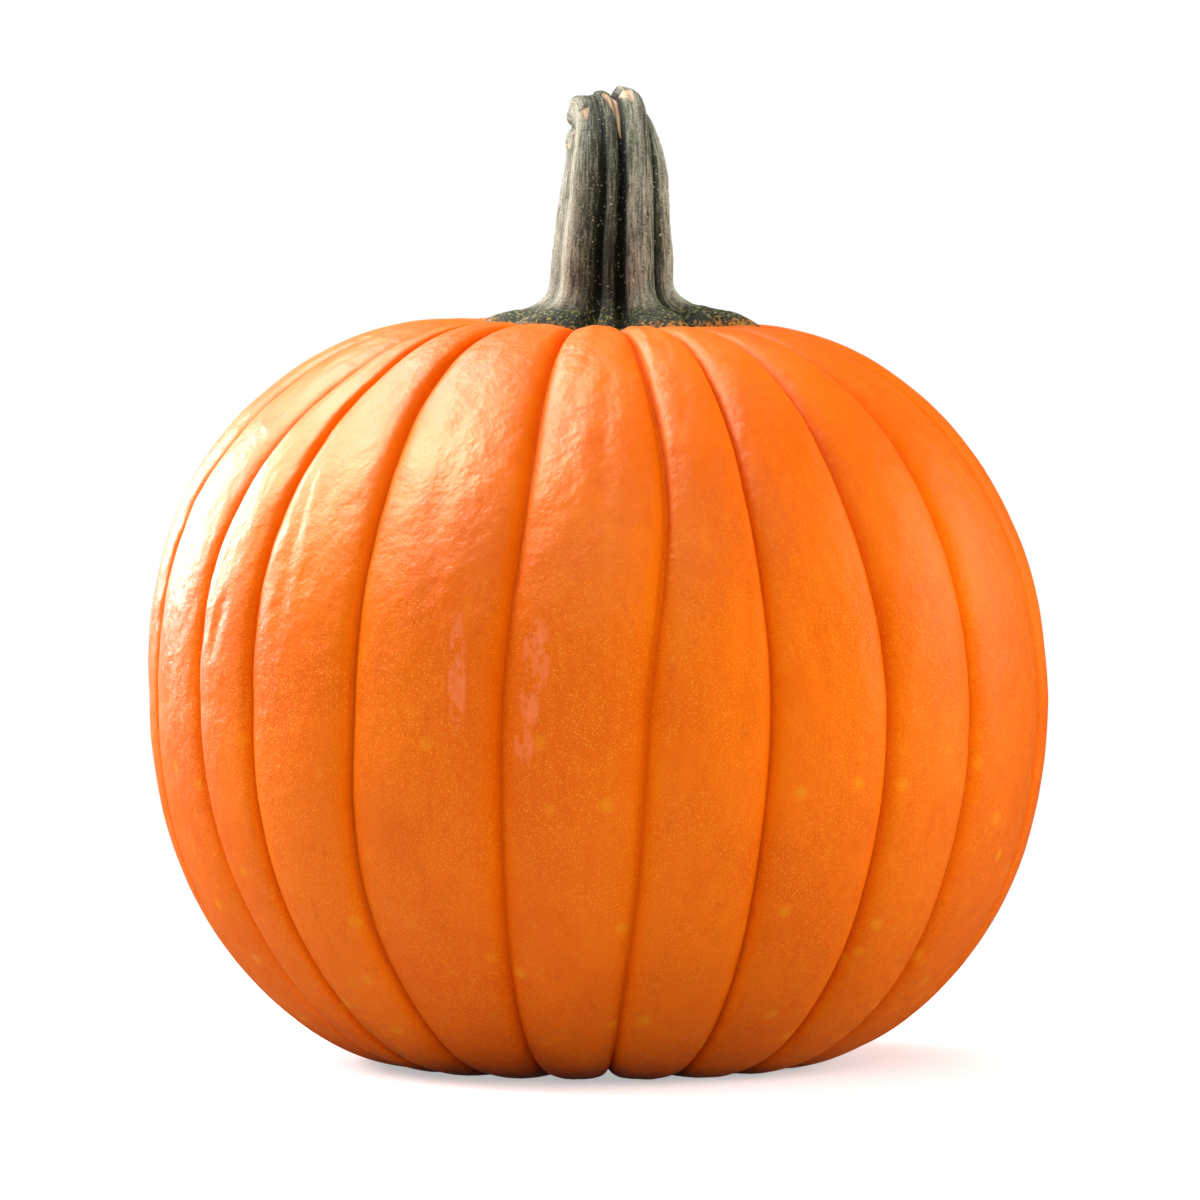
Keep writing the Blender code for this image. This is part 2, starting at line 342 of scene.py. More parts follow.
def dents(radius, height, turn, level):
    """Depth in metres of the hammered dents, which are strongest on the upper left, and of the
    slow swell under them."""
    drift = turn - height * math.tan(math.radians(WRINKLE_SLANT)) / FRUIT_RADIUS
    stretched = np.broadcast_to(height * WRINKLE_STRETCH / FRUIT_RADIUS, turn.shape)
    slanted = FRUIT_RADIUS * np.stack([np.sin(drift), -np.cos(drift), stretched], axis=2)
    total = sum(depth * np.abs(noise(slanted, size, seed)) for depth, size, seed in FOLDED_DENTS)
    depth, size, seed = FINE_DENTS
    total += depth * noise(slanted, size, seed)
    higher = smoothstep((level - DENTS_FROM) / DENTS_RISE)
    facing = DENTS_IN_FRONT - DENTS_MORE_LEFT * np.sin(turn)
    total *= DENTS_LEAST + (1.0 - DENTS_LEAST) * higher * facing

    upright = np.broadcast_to(height, turn.shape)
    places = np.stack([radius * np.sin(turn), -radius * np.cos(turn), upright], axis=2)
    depth, size, seed = SLOW_SWELL
    return MILLIMETRE * (total + depth * noise(places, size, seed))


def scuff_and_highlight_mask(azimuth, level):
    total = np.zeros_like(azimuth)
    for middle, middle_level, half_width, half_height in SCUFF_AND_HIGHLIGHT_PATCHES:
        away = turn_between(azimuth, middle) / half_width
        above = (level - middle_level) / half_height
        total = np.maximum(total, np.exp(-(away**2) - above**2))
    return total


def lean(up, x, y):
    """How much higher the crown is at a place, as it leans to the front and the left."""
    return smoothstep(up / CROWN_RISE) * (LEAN_FRONT * y - LEAN_RIGHT * x)


def dented_rings(radius, height, turn, dip):
    """The meridian turned round, moved in by the dip, and leaned."""
    slope = np.stack([np.gradient(radius), np.gradient(height)], axis=1)
    slope /= np.linalg.norm(slope, axis=1, keepdims=True)
    out = radius[:, None] + dip * slope[:, 1:]
    up = height[:, None] - dip * slope[:, :1]
    out = out * (1.0 - DEPTH_LOSS * np.cos(turn) ** 2)
    x = out * np.sin(turn)
    y = -out * np.cos(turn)
    z = up + lean(up, x, y) + WIDEST_LEVEL
    shoulder = np.sin(math.pi * np.clip(up / CROWN_RISE, 0.0, 1.0))
    x = x * (1.0 - SHOULDER_FULLNESS * shoulder * x / FRUIT_RADIUS)
    return np.stack([x, y, np.maximum(z, 0.0)], axis=2)


def root_nearness(rings, level):
    """1 on the skin round the stem's roots, and 0 further away."""
    x = rings[:, :, 0] - STEM_AXIS[1][0] * MILLIMETRE
    y = rings[:, :, 1] - STEM_AXIS[1][1] * MILLIMETRE
    beyond = np.hypot(x, y) - root_reach(np.degrees(np.arctan2(x, -y)))
    stain = 1.0 - smoothstep((beyond + ROOT_NEAR_START) / ROOT_NEAR_EDGE)
    return stain * (level > ROOT_NEAR_LEVEL)


def fruit_skin():
    """The skin's rings, the points at its crown and base, and the values its material reads."""
    radius, height = meridian(SKIN_RINGS)
    furrows = furrow_azimuths(level_of(height))
    following = np.concatenate([furrows[:, 1:], furrows[:, :1] + 360.0], axis=1)
    width = (following - furrows)[:, :, None]
    share = crowded_shares(SKIN_COLUMNS)
    azimuth = (furrows[:, :, None] + width * share).reshape(SKIN_RINGS, -1)
    turn = np.radians(azimuth)
    level = np.broadcast_to(level_of(height)[:, None], azimuth.shape)

    edge = np.abs(2.0 * share - 1.0)
    fade = smoothstep(radius / FURROWS_START_RADIUS)[:, None]
    dip = lobe_dip(edge, width).reshape(azimuth.shape) * fade
    dip += crease_dip(azimuth, level)
    dip += dents(radius[:, None], height[:, None], turn, level)
    rings = dented_rings(radius, height, turn, dip)

    from_furrow = np.broadcast_to(np.tile(edge, width.shape[1]) - 1.0, azimuth.shape)
    scar = smoothstep((radius[:, None] - BLOSSOM_SCAR_RADIUS) / BLOSSOM_SCAR_EDGE)
    values = {
        "furrow": np.exp(from_furrow / FURROW_SHADE_REACH),
        "flank": np.exp(from_furrow / FLANK_SHADE_REACH),
        "scuff_and_highlight": scuff_and_highlight_mask(azimuth, level),
        "level": level,
        "root_nearness": root_nearness(rings, level),
        "blossom": (1.0 - scar) * (level < 0.0),
    }
    return rings[1:-1], rings[0, 0], rings[-1, 0], per_point(values, slice(1, -1))


# ---------------------------------------------------------------- the stem

# The stem's axis: points in millimetres right of, behind and above the middle of the widest level,
# and the radius in millimetres at each.
STEM_AXIS = (
    (4.4, 1.0, 120.0),
    (4.6, 0.5, 139.0),
    (5.2, 1.5, 156.0),
    (5.8, 5.0, 170.5),
    (5.4, 11.5, 181.5),
    (4.2, 20.0, 188.0),
    (1.5, 29.0, 190.0),
)
STEM_RADII = (23.0, 21.8, 20.4, 18.9, 17.2, 16.2, 15.8)
SHAFT_START = 1.0 / (len(STEM_AXIS) - 1)

# The stem's outline: azimuths of crests and valleys, the radius there as a share at the foot and
# near the broken end, how far the root reaches in millimetres, and how pale the bark is.
OUTLINE = (
    (-172.0, 0.97, 0.98, 42.0, 0.6),
    (-152.0, 0.78, 0.86, 33.0, 0.1),
    (-130.0, 0.99, 1.00, 39.0, 0.7),
    (-112.0, 0.80, 0.88, 35.0, 0.3),
    (-98.0, 0.99, 0.96, 44.0, 0.75),
    (-74.0, 0.88, 0.87, 38.0, 0.55),
    (-49.0, 1.01, 1.01, 38.0, 1.0),
    (-37.0, 0.90, 0.95, 35.0, 0.16),
    (-28.0, 0.82, 0.90, 31.0, 0.0),
    (-18.0, 0.65, 0.84, 26.0, 0.0),
    (-10.0, 0.77, 0.88, 27.0, 0.0),
    (0.0, 0.78, 0.87, 27.0, 0.0),
    (9.0, 0.57, 0.75, 26.0, 0.0),
    (17.0, 0.87, 0.98, 30.0, 0.25),
    (27.0, 0.98, 1.05, 37.0, 0.48),
    (40.0, 0.98, 1.01, 38.0, 0.22),
    (49.0, 0.84, 0.90, 31.0, 0.30),
    (66.0, 1.01, 0.88, 46.0, 0.9),
    (86.0, 0.86, 0.86, 47.0, 0.42),
    (108.0, 0.99, 0.98, 38.0, 0.6),
    (128.0, 0.78, 0.84, 31.0, 0.1),
    (150.0, 0.98, 0.98, 41.0, 0.6),
    (168.0, 0.82, 0.86, 34.0, 0.1),
)
OUTLINE_KNOTS = np.array([row[0] for row in OUTLINE])
CREST_ROUNDING = 2.0
MEAN_OUTLINE_BLUR = 13.0
# Where along the shaft the outline turns from the foot's to the end's, and over how much of it.
OUTLINE_TURNS = 0.35
OUTLINE_TURNS_OVER = 0.6
# Valleys are cut deeper than the outline. Each of these is the share of the radius, off the mean
# outline, at which a valley is cut in full, its colour (moss and painted shade) is full, and a
# crest's painted highlight is full.
VALLEY_CUT = 0.05
VALLEY_CUT_FULL = 0.12
VALLEY_FULL = 0.09
CREST_FULL = 0.08

# Relief of the bark: height in millimetres, size in metres, how far it is drawn out along the
# stem, and the seed.
BARK_RELIEF = (
    (0.30, 0.0032, 10.0, 11),
    (0.24, 0.0015, 12.0, 13),
    (0.12, 0.0011, 1.5, 14),
    (0.60, 0.0090, 1.6, 17),
)
UNROLLED_RADIUS = 0.020

# Torn strips of pale wood: azimuth and half width in degrees, where each starts and stops in
# metres from the broken end, and how far round it drifts on the way. A tear opens over a share
# of its length, and its point keeps a share of its width.
TEARS = (
    (-3.0, 13.0, 0.004, 0.022, 12.0),
    (18.0, 7.0, 0.007, 0.014, 4.0),
    (-40.0, 7.0, 0.010, 0.016, 0.0),
    (-72.0, 4.0, 0.008, 0.030, 6.0),
    (-8.0, 2.5, 0.074, 0.086, 1.0),
)
TEAR_DEPTH = 0.8 * MILLIMETRE
TEAR_OPENING = 0.15
TEAR_POINT = 0.04

# The left-hand ridge breaks off below the end in ragged flaps.
BROKEN_RIDGE = -88.0
BROKEN_RIDGE_WIDTH = 13.0
BROKEN_RIDGE_STOP = 0.0135
BROKEN_RIDGE_DEPTH = 0.0024
BROKEN_RIDGE_SWAY = 0.003
BROKEN_RIDGE_WAVES = 3.0
BROKEN_RIDGE_GRAIN = (0.0030, 2.0, 41)
FLAP_THICKNESS = 0.0012
FLAP_RISE = 0.9 * MILLIMETRE
FLAP_BARE = 0.8

# The broken end: it sags in the middle, and the pith has left a hollow, in millimetres, over a
# share of the radius. Crumbs are height in millimetres, size in metres, and the seed.
END_DISH = 1.6
PITH_HOLLOW = 5.0
PITH_SHARE = 0.22
FINE_CRUMBS = (0.8, 0.0021, 31)
COARSE_CRUMBS = (0.9, 0.0045, 37)
END_START = 0.4
RAGGED_RIM = 0.0030
RAGGED_LENGTH = 0.012
RAGGED_NOTCHES = (0.22, 19)

# Painted shade: the stem is painted darkest low down at the front.
SHADE_AZIMUTH = -10.0
SHADE_WIDTH = 21.0
SHADE_START = 0.030
SHADE_FADE = 0.034

# The feet: how high a toe stands off the skin and how much of that is left in a valley, their
# length along the bark, how far they run on below the skin, and the least that they spread.
ROOT_TOE = 0.0056
TOE_IN_VALLEY = 0.25
ROOT_LENGTH = 0.030
ROOT_SKIRT = 0.006
ROOT_LEAST = 0.004
ROOT_WANDER = 0.05
ROOT_WANDER_NOISE = (0.3, 23)
ROOT_BUMP = 0.5 * MILLIMETRE
ROOT_BUMP_NOISE = (0.0032, 29)
CROWN_STEPS = 400

STEM_COLUMNS = 320
SHAFT_RINGS = 190
ROOT_RINGS = 46
END_RINGS = 14
ROOT_FIRST = END_RINGS + SHAFT_RINGS
STEM_AZIMUTH = np.linspace(-180.0, 180.0, STEM_COLUMNS, endpoint=False)
STEM_TURN = np.radians(STEM_AZIMUTH)
STEM_CIRCLE = np.stack([np.sin(STEM_TURN), np.cos(STEM_TURN), 0.0 * STEM_TURN], axis=1)
ROOT_BENDS = np.linspace(0.0, math.pi / 2, ROOT_RINGS + 1)[1:]


def blur_round(rows, width):
    """Each row smoothed round the stem by a bell curve this many degrees wide."""
    away = turn_between(STEM_AZIMUTH[:, None], STEM_AZIMUTH[None, :])
    weight = np.exp(-0.5 * (away / width) ** 2)
    return rows @ (weight / weight.sum(axis=0))


def stem_section(place):
    """The radius as a share, at places from 0 at the foot to 1 at the end: flat facets between the
    outline's crests and valleys, rounded over. One row per place."""
    knots = OUTLINE_KNOTS
    towards_end = smoothstep((place - OUTLINE_TURNS) / OUTLINE_TURNS_OVER)[:, None]
    low = np.array([row[1] for row in OUTLINE])
    high = np.array([row[2] for row in OUTLINE])
    radii = low + (high - low) * towards_end
    wrapped = (STEM_AZIMUTH - knots[0]) % 360.0 + knots[0]
    before = np.searchsorted(knots, wrapped, side="right") - 1
    after = (before + 1) % len(knots)
    span = np.radians((knots[after] - knots[before]) % 360.0)
    part = np.radians(wrapped - knots[before])
    first, second = radii[:, before], radii[:, after]
    flat = first * second * np.sin(span) / (first * np.sin(part) + second * np.sin(span - part))
    return blur_round(flat, CREST_ROUNDING)


def around_stem(azimuth, column):
    """One column of the outline as a smooth curve round the stem."""
    values = [row[column] for row in OUTLINE]
    knots = [OUTLINE_KNOTS[-1] - 360.0, *OUTLINE_KNOTS, OUTLINE_KNOTS[0] + 360.0]
    wrapped = (azimuth - OUTLINE_KNOTS[0]) % 360.0 + OUTLINE_KNOTS[0]
    closed = [values[-1], *values, values[0]]
    return smooth_curve(knots, closed, wrapped.ravel()).reshape(azimuth.shape)


def root_reach(azimuth):
    """How far from the stem's middle the root ends, in metres."""
    return around_stem(azimuth, 3) * MILLIMETRE


def skin_height(x, y):
    """Height of the crown at a place near the axis, furrows left out."""
    radius, height = meridian(CROWN_STEPS)
    near = height > 0.0
    up = np.interp(np.hypot(x, y), radius[near], height[near])
    return up + lean(up, x, y) + WIDEST_LEVEL


def axis_frames(places):
    """Middle, radius, and the three directions of the stem, at places from 0 to 1 along it."""
    knots = np.linspace(0.0, 1.0, len(STEM_AXIS))
    lift = np.array([0.0, 0.0, WIDEST_LEVEL])
    centre = smooth_curve(knots, STEM_AXIS, places) * MILLIMETRE + lift
    radius = smooth_curve(knots, STEM_RADII, places) * MILLIMETRE
    tangent = np.gradient(centre, places, axis=0)
    tangent /= np.linalg.norm(tangent, axis=1, keepdims=True)
    front = np.cross((1.0, 0.0, 0.0), tangent)
    front /= np.linalg.norm(front, axis=1, keepdims=True)
    return centre, radius, tangent, front, np.cross(tangent, front)


def unrolled_places():
    """Two values round the stem for each column, for noise on the bark."""
    return np.stack([np.sin(STEM_TURN), -np.cos(STEM_TURN)], axis=1) * UNROLLED_RADIUS


def bark_noise(travelled, size, stretch, seed):
    """Noise drawn out along the stem, one row per ring."""
    along = np.broadcast_to((travelled / stretch)[:, None], (SHAFT_RINGS, STEM_COLUMNS))
    across = np.broadcast_to(unrolled_places(), (SHAFT_RINGS, STEM_COLUMNS, 2))
    return noise(np.concatenate([across, along[:, :, None]], axis=2), size, seed)


def broken_ridge(travelled):
    """Where the left-hand ridge is gone, and where the bark left round it curls up."""
    away = (STEM_AZIMUTH - BROKEN_RIDGE) / BROKEN_RIDGE_WIDTH
    edge = BROKEN_RIDGE_STOP + BROKEN_RIDGE_SWAY * bark_noise(travelled, *BROKEN_RIDGE_GRAIN)
    edge = edge + BROKEN_RIDGE_SWAY * np.sin(BROKEN_RIDGE_WAVES * away)
    near = np.exp(-(away**4))
    past = (edge - travelled[:, None]) / FLAP_THICKNESS
    return smoothstep(past) * near, np.exp(-(past**2)) * near


def torn_strips(travelled):
    total = np.zeros((SHAFT_RINGS, STEM_COLUMNS))
    for middle, half_width, start, stop, drift in TEARS:
        share = (travelled[:, None] - start) / (stop - start)
        opening = np.sqrt(np.clip(share / TEAR_OPENING, 0.0, 1.0))
        narrowing = opening * np.clip(1.05 - share, 0.0, 1.0)
        away = STEM_AZIMUTH - middle - drift * np.clip(share, 0.0, 1.0)
        reach = half_width * (TEAR_POINT + (1.0 - TEAR_POINT) * narrowing)
        within = np.exp(-((away / reach) ** 4))
        total = np.maximum(total, within * (share > 0.0) * (share < 1.0))
    return total


def root_rings(top_ring, middle, valley):
    """The feet, from the shaft's lowest ring out over the crown."""
    start = np.hypot(top_ring[:, 0] - middle[0], top_ring[:, 1] - middle[1])
    wander = 1.0 + ROOT_WANDER * noise(STEM_CIRCLE, *ROOT_WANDER_NOISE)
    reach = np.maximum(root_reach(STEM_AZIMUTH) * wander, start + ROOT_LEAST)
    rings = []
    for bend in ROOT_BENDS:
        grown = 1.0 - math.cos(bend)
        distance = start + (reach - start) * grown
        x = middle[0] + distance * np.sin(STEM_TURN)
        y = middle[1] - distance * np.cos(STEM_TURN)
        toe = ROOT_TOE * (1.0 - (1.0 - TOE_IN_VALLEY) * valley) * (1.0 - grown**4)
        fall = 1.0 - math.sin(bend)
        ground = skin_height(x, y)
        rise = fall * (top_ring[:, 2] - ground) + (1.0 - fall) * toe
        bumps = ROOT_BUMP * noise(np.stack([x, y, 0.0 * x], axis=1), *ROOT_BUMP_NOISE)
        rings.append(np.stack([x, y, ground + rise + bumps * (1.0 - grown)], axis=1))
    return np.array(rings)


def end_rings(rim, outwards):
    """The crumbled face of the broken end, from its middle out to the rim."""
    middle = rim.mean(axis=0)
    rings = []
    for ring in range(END_RINGS):
        share = (ring + END_START) / END_RINGS
        points = middle + (rim - middle) * share
        layers = (FINE_CRUMBS, COARSE_CRUMBS)
        crumbs = sum(height * noise(points, size, seed) for height, size, seed in layers)
        dish = END_DISH * (1.0 - share**3) + PITH_HOLLOW * math.exp(-((share / PITH_SHARE) ** 4))
        depth = (crumbs * (0.3 + 0.7 * share) - dish) * MILLIMETRE
        rings.append(points + outwards * depth[:, None])
    return np.array(rings), middle - outwards * (END_DISH + PITH_HOLLOW) * MILLIMETRE


def bark_values(travelled, valley, crest, torn):
    """What the bark's material reads, for every ring from the broken end to under the feet."""
    shape = (ROOT_FIRST + ROOT_RINGS + 1, STEM_COLUMNS)
    shaft = slice(END_RINGS, ROOT_FIRST)
    values = {key: np.zeros(shape) for key in ("end", "root", "valley", "crest", "torn")}
    values["pale"] = np.broadcast_to(np.clip(around_stem(STEM_AZIMUTH, 4), 0.0, 1.0), shape)
    values["end"][:END_RINGS] = 1.0
    values["end"][END_RINGS] = 0.7
    grown = np.append(1.0 - np.cos(ROOT_BENDS), 1.0)
    values["root"][ROOT_FIRST:] = grown[:, None]
    for key, ridges in (("valley", valley), ("crest", crest)):
        values[key][shaft] = ridges
        values[key][ROOT_FIRST:] = ridges[-1]
    values["torn"][shaft] = torn

    # Where the bark lies on the stem unrolled: two values round it, and the way down its length.
    round_x, round_y = unrolled_places().T
    values["round_x"] = np.broadcast_to(round_x, shape)
    values["round_y"] = np.broadcast_to(round_y, shape)
    inwards = np.linspace(-UNROLLED_RADIUS, 0.0, END_RINGS, endpoint=False)
    length = np.concatenate([inwards, travelled, travelled[-1] + grown * ROOT_LENGTH])[:, None]
    values["along"] = np.broadcast_to(length, shape)
    near_front = np.exp(-(((STEM_AZIMUTH - SHADE_AZIMUTH) / SHADE_WIDTH) ** 4))
    values["shade"] = near_front * smoothstep((length - SHADE_START) / SHADE_FADE)
    return per_point(values)


def stem_bark():
    """The stem's rings, the points that close its ends, and the values its material reads."""
    places = np.linspace(1.0, SHAFT_START, SHAFT_RINGS)
    centre, radius, tangent, front, side = axis_frames(places)
    step = np.linalg.norm(np.diff(centre, axis=0), axis=1)
    travelled = np.concatenate([[0.0], np.cumsum(step)])

    section = stem_section((places - SHAFT_START) / (1.0 - SHAFT_START))
    hollow = np.clip(blur_round(section, MEAN_OUTLINE_BLUR) - section, 0.0, 1.0)
    valley = np.clip(hollow / VALLEY_FULL, 0.0, 1.0)
    section = section - VALLEY_CUT * smoothstep(hollow / VALLEY_CUT_FULL)
    raised = section - blur_round(section, MEAN_OUTLINE_BLUR)
    crest = np.clip(raised / CREST_FULL, 0.0, 1.0)

    out = radius[:, None] * section
    for height, size, stretch, seed in BARK_RELIEF:
        out = out + height * MILLIMETRE * bark_noise(travelled, size, stretch, seed)
    broken, flap = broken_ridge(travelled)
    torn = np.maximum(FLAP_BARE * flap, torn_strips(travelled))
    out = out - BROKEN_RIDGE_DEPTH * broken + FLAP_RISE * flap - TEAR_DEPTH * torn

    across = side[:, None] * STEM_CIRCLE[:, 0, None] + front[:, None] * STEM_CIRCLE[:, 1, None]
    shaft = centre[:, None] + across * out[:, :, None]
    near_end = np.clip(1.0 - travelled / RAGGED_LENGTH, 0.0, 1.0) ** 2
    ragged = RAGGED_RIM * near_end[:, None] * noise(STEM_CIRCLE, *RAGGED_NOTCHES)
    shaft = shaft + tangent[:, None] * ragged[:, :, None]

    face, pith = end_rings(shaft[0], tangent[0])
    root = root_rings(shaft[-1], centre[-1], valley[-1])
    skirt = root[-1] - np.array([0.0, 0.0, ROOT_SKIRT])
    rings = np.concatenate([face, shaft, root, skirt[None]])
    return rings, pith, skirt.mean(axis=0), bark_values(travelled, valley, crest, torn)


# ---------------------------------------------------------------- materials


class Recipe:
    """A material's nodes. An input's value is a number, a colour, or the output of another node.
    Colours are linear red, green and blue, and scales are in lumps or cells per metre."""

    def __init__(self, name):
        self.material = bpy.data.materials.new(name)
        self.material.use_nodes = True
        self.tree = self.material.node_tree
        self.shader = self.tree.nodes["Principled BSDF"]

    def add(self, kind, inputs, **settings):
        made = self.tree.nodes.new("ShaderNode" + kind)
        for key, value in settings.items():
            setattr(made, key, value)
        self.fill(made, inputs)
        return made

    def fill(self, node, inputs):
        for key, value in inputs.items():
            socket = node.inputs[key]
            if isinstance(value, bpy.types.NodeSocket):
                self.tree.links.new(value, socket)
            elif isinstance(value, tuple) and socket.type == "RGBA":
                socket.default_value = (*value, 1.0)
            else:
                socket.default_value = value

    def attribute(self, name):
        return self.add("Attribute", {}, attribute_name=name).outputs["Fac"]

    def place(self, up=1.0):
        """A place on the object, with heights made shorter or longer so that noise is drawn out."""
        where = self.add("TexCoord", {}).outputs["Object"]
        return self.add("Mapping", {"Vector": where, "Scale": (1.0, 1.0, up)}).outputs["Vector"]

    def unrolled(self, stretch):
        """A place on the stem's bark laid flat, drawn out along the stem by a small stretch."""
        along = self.times(self.attribute("along"), stretch)
        parts = {"X": self.attribute("round_x"), "Y": self.attribute("round_y"), "Z": along}
        return self.add("CombineXYZ", parts).outputs["Vector"]

    def noise(self, where, scale, detail=2.0, roughness=0.5):
        inputs = {"Vector": where, "Scale": scale, "Detail": detail, "Roughness": roughness}
        return self.add("TexNoise", inputs).outputs["Fac"]

    def cells(self, where, scale, output):
        return self.add("TexVoronoi", {"Vector": where, "Scale": scale}).outputs[output]

    def math(self, operation, first, second, third=0.0, clamp=False):
        inputs = {0: first, 1: second, 2: third}
        return self.add("Math", inputs, operation=operation, use_clamp=clamp).outputs[0]

    def times(self, first, second):
        return self.math("MULTIPLY", first, second)

    def plus(self, first, second):
        return self.math("ADD", first, second)

    def line(self, value, slope, start):
        """The start, and the slope for each whole step of the value."""
        return self.math("MULTIPLY_ADD", value, slope, start)

    def span(self, value, low, high, to_low=0.0, to_high=1.0):
        """The value between low and high, eased and carried over to the other range."""
        inputs = {"Value": value, "From Min": low, "From Max": high}
        inputs.update({"To Min": to_low, "To Max": to_high})
        return self.add("MapRange", inputs, interpolation_type="SMOOTHSTEP").outputs["Result"]

    def frayed(self, value, grain, amount):
        """The value pushed up and down by a grain from 0 to 1, so that its edge is ragged."""
        return self.plus(value, self.line(grain, amount, -amount / 2.0))

    def dots(self, where, scale, edge, core, few, many):
        """Round dots, one to a cell. Each fades from its core out to its edge, which are shares of
        a cell, and cells whose random number is below few have none."""
        dot = self.span(self.cells(where, scale, "Distance"), edge, core)
        return self.times(dot, self.span(self.cells(where, scale, "Color"), few, many))

    def mix(self, share, first, second):
        made = self.add("Mix", {}, data_type="RGBA")
        self.fill(made, {0: share, 6: first, 7: second})
        return made.outputs[2]

    def tint(self, colour, share, most, other):
        """The colour turned towards another one by the share, and at most this much."""
        return self.mix(self.times(share, most), colour, other)

    def bump(self, height, depth, under=None):
        """A bump this many metres deep, laid over another one."""
        inputs = {"Height": height, "Distance": depth, "Strength": 1.0}
        if under is not None:
            inputs["Normal"] = under
        return self.add("Bump", inputs).outputs["Normal"]


PLANT_IOR = 1.45
SKIN_SHINE = 0.30
FURROW_SHINE = 0.05
BARK_SHINE = 0.15

DEEP_ORANGE = (0.84, 0.128, 0.0003)
BRIGHT_ORANGE = (0.92, 0.160, 0.0005)
LIGHT_STREAK = (0.93, 0.215, 0.003)
DARK_STREAK = (0.70, 0.085, 0.0004)
SPECKLE = (0.98, 0.34, 0.010)
SOFT_SPOT = (0.95, 0.33, 0.008)
SCUFF_AND_HIGHLIGHT_PINK = (0.93, 0.182, 0.040)
SCUFF_AND_HIGHLIGHT_FLECK = (0.98, 0.25, 0.080)
FLANK_PAINTED_SHADE = (0.78, 0.098, 0.0003)
FURROW_PAINTED_SHADE = (0.50, 0.048, 0.0003)
CROWN_OCHRE = (0.50, 0.22, 0.015)
CROWN_GREEN = (0.045, 0.052, 0.012)
CORK_DARK = (0.20, 0.105, 0.035)
CORK_PALE = (0.46, 0.29, 0.12)
SKIN_SHEEN = (1.0, 0.82, 0.55)


def rind_ground(r):
    """Orange in broad soft patches, with fine streaks down the ribs."""
    patches = r.span(r.noise(r.place(), 18.0, 3.0), 0.35, 0.65)
    streaks = r.noise(r.place(0.30), 210.0, 3.0, 0.6)
    colour = r.mix(patches, DEEP_ORANGE, BRIGHT_ORANGE)
    colour = r.mix(r.span(streaks, 0.52, 0.75, 0.0, 0.35), colour, LIGHT_STREAK)
    return r.mix(r.span(streaks, 0.46, 0.25, 0.0, 0.30), colour, DARK_STREAK)


def rind_speckles(r):
    """Fine pale speckles, thickest round the middle and below."""
    patchy = r.span(r.noise(r.place(), 42.0), 0.28, 0.60, 0.35, 1.0)
    below = r.span(r.attribute("level"), 0.70, 0.05, 0.25, 1.0)
    return r.times(r.dots(r.place(), 1450.0, 0.46, 0.16, 0.20, 0.60), r.times(patchy, below))


def rind_spots(r):
    """Soft pale spots a few millimetres wide, on the lower half."""
    low_half = r.span(r.attribute("level"), 0.12, -0.25, 0.10, 1.0)
    return r.times(r.dots(r.place(), 76.0, 0.27, 0.05, 0.46, 0.52), low_half)


def rind_scuffs_and_highlights(r):
    """Where the skin is rubbed, and partly a painted highlight: ragged patches inside the soft mask
    of each patch.
    """
    torn = r.span(r.noise(r.place(0.45), 230.0, 4.0, 0.75), 0.42, 0.51)
    return r.times(r.span(r.attribute("scuff_and_highlight"), 0.15, 0.45), torn)


def rind_crown(r, colour, mottled):
    """The crown turns ochre and then green towards the stem's roots."""
    near = r.attribute("root_nearness")
    ochre = r.span(r.frayed(near, mottled, 0.9), 0.30, 0.55)
    colour = r.tint(colour, ochre, 0.8, CROWN_OCHRE)
    green = r.span(r.frayed(near, mottled, 1.1), 0.62, 0.86)
    return r.mix(green, colour, CROWN_GREEN)


# Depths of the relief that is too small for the mesh, in metres.
PORE_DEPTH = 0.00007
DIMPLE_DEPTH = 0.00020
HAMMERED_DEPTH = 0.00066
SPECKLE_RISE = 0.00006


def rind_relief(r, raised):
    """Pores, dimples and hammered dents, and what stands up from them."""
    here = r.place()
    pores = r.bump(r.noise(here, 1500.0, 2.0, 0.6), PORE_DEPTH)
    dimples = r.bump(r.noise(here, 480.0, 3.0, 0.60), DIMPLE_DEPTH, pores)
    hammered = r.bump(r.noise(here, 160.0), HAMMERED_DEPTH, dimples)
    return r.bump(raised, SPECKLE_RISE, hammered)


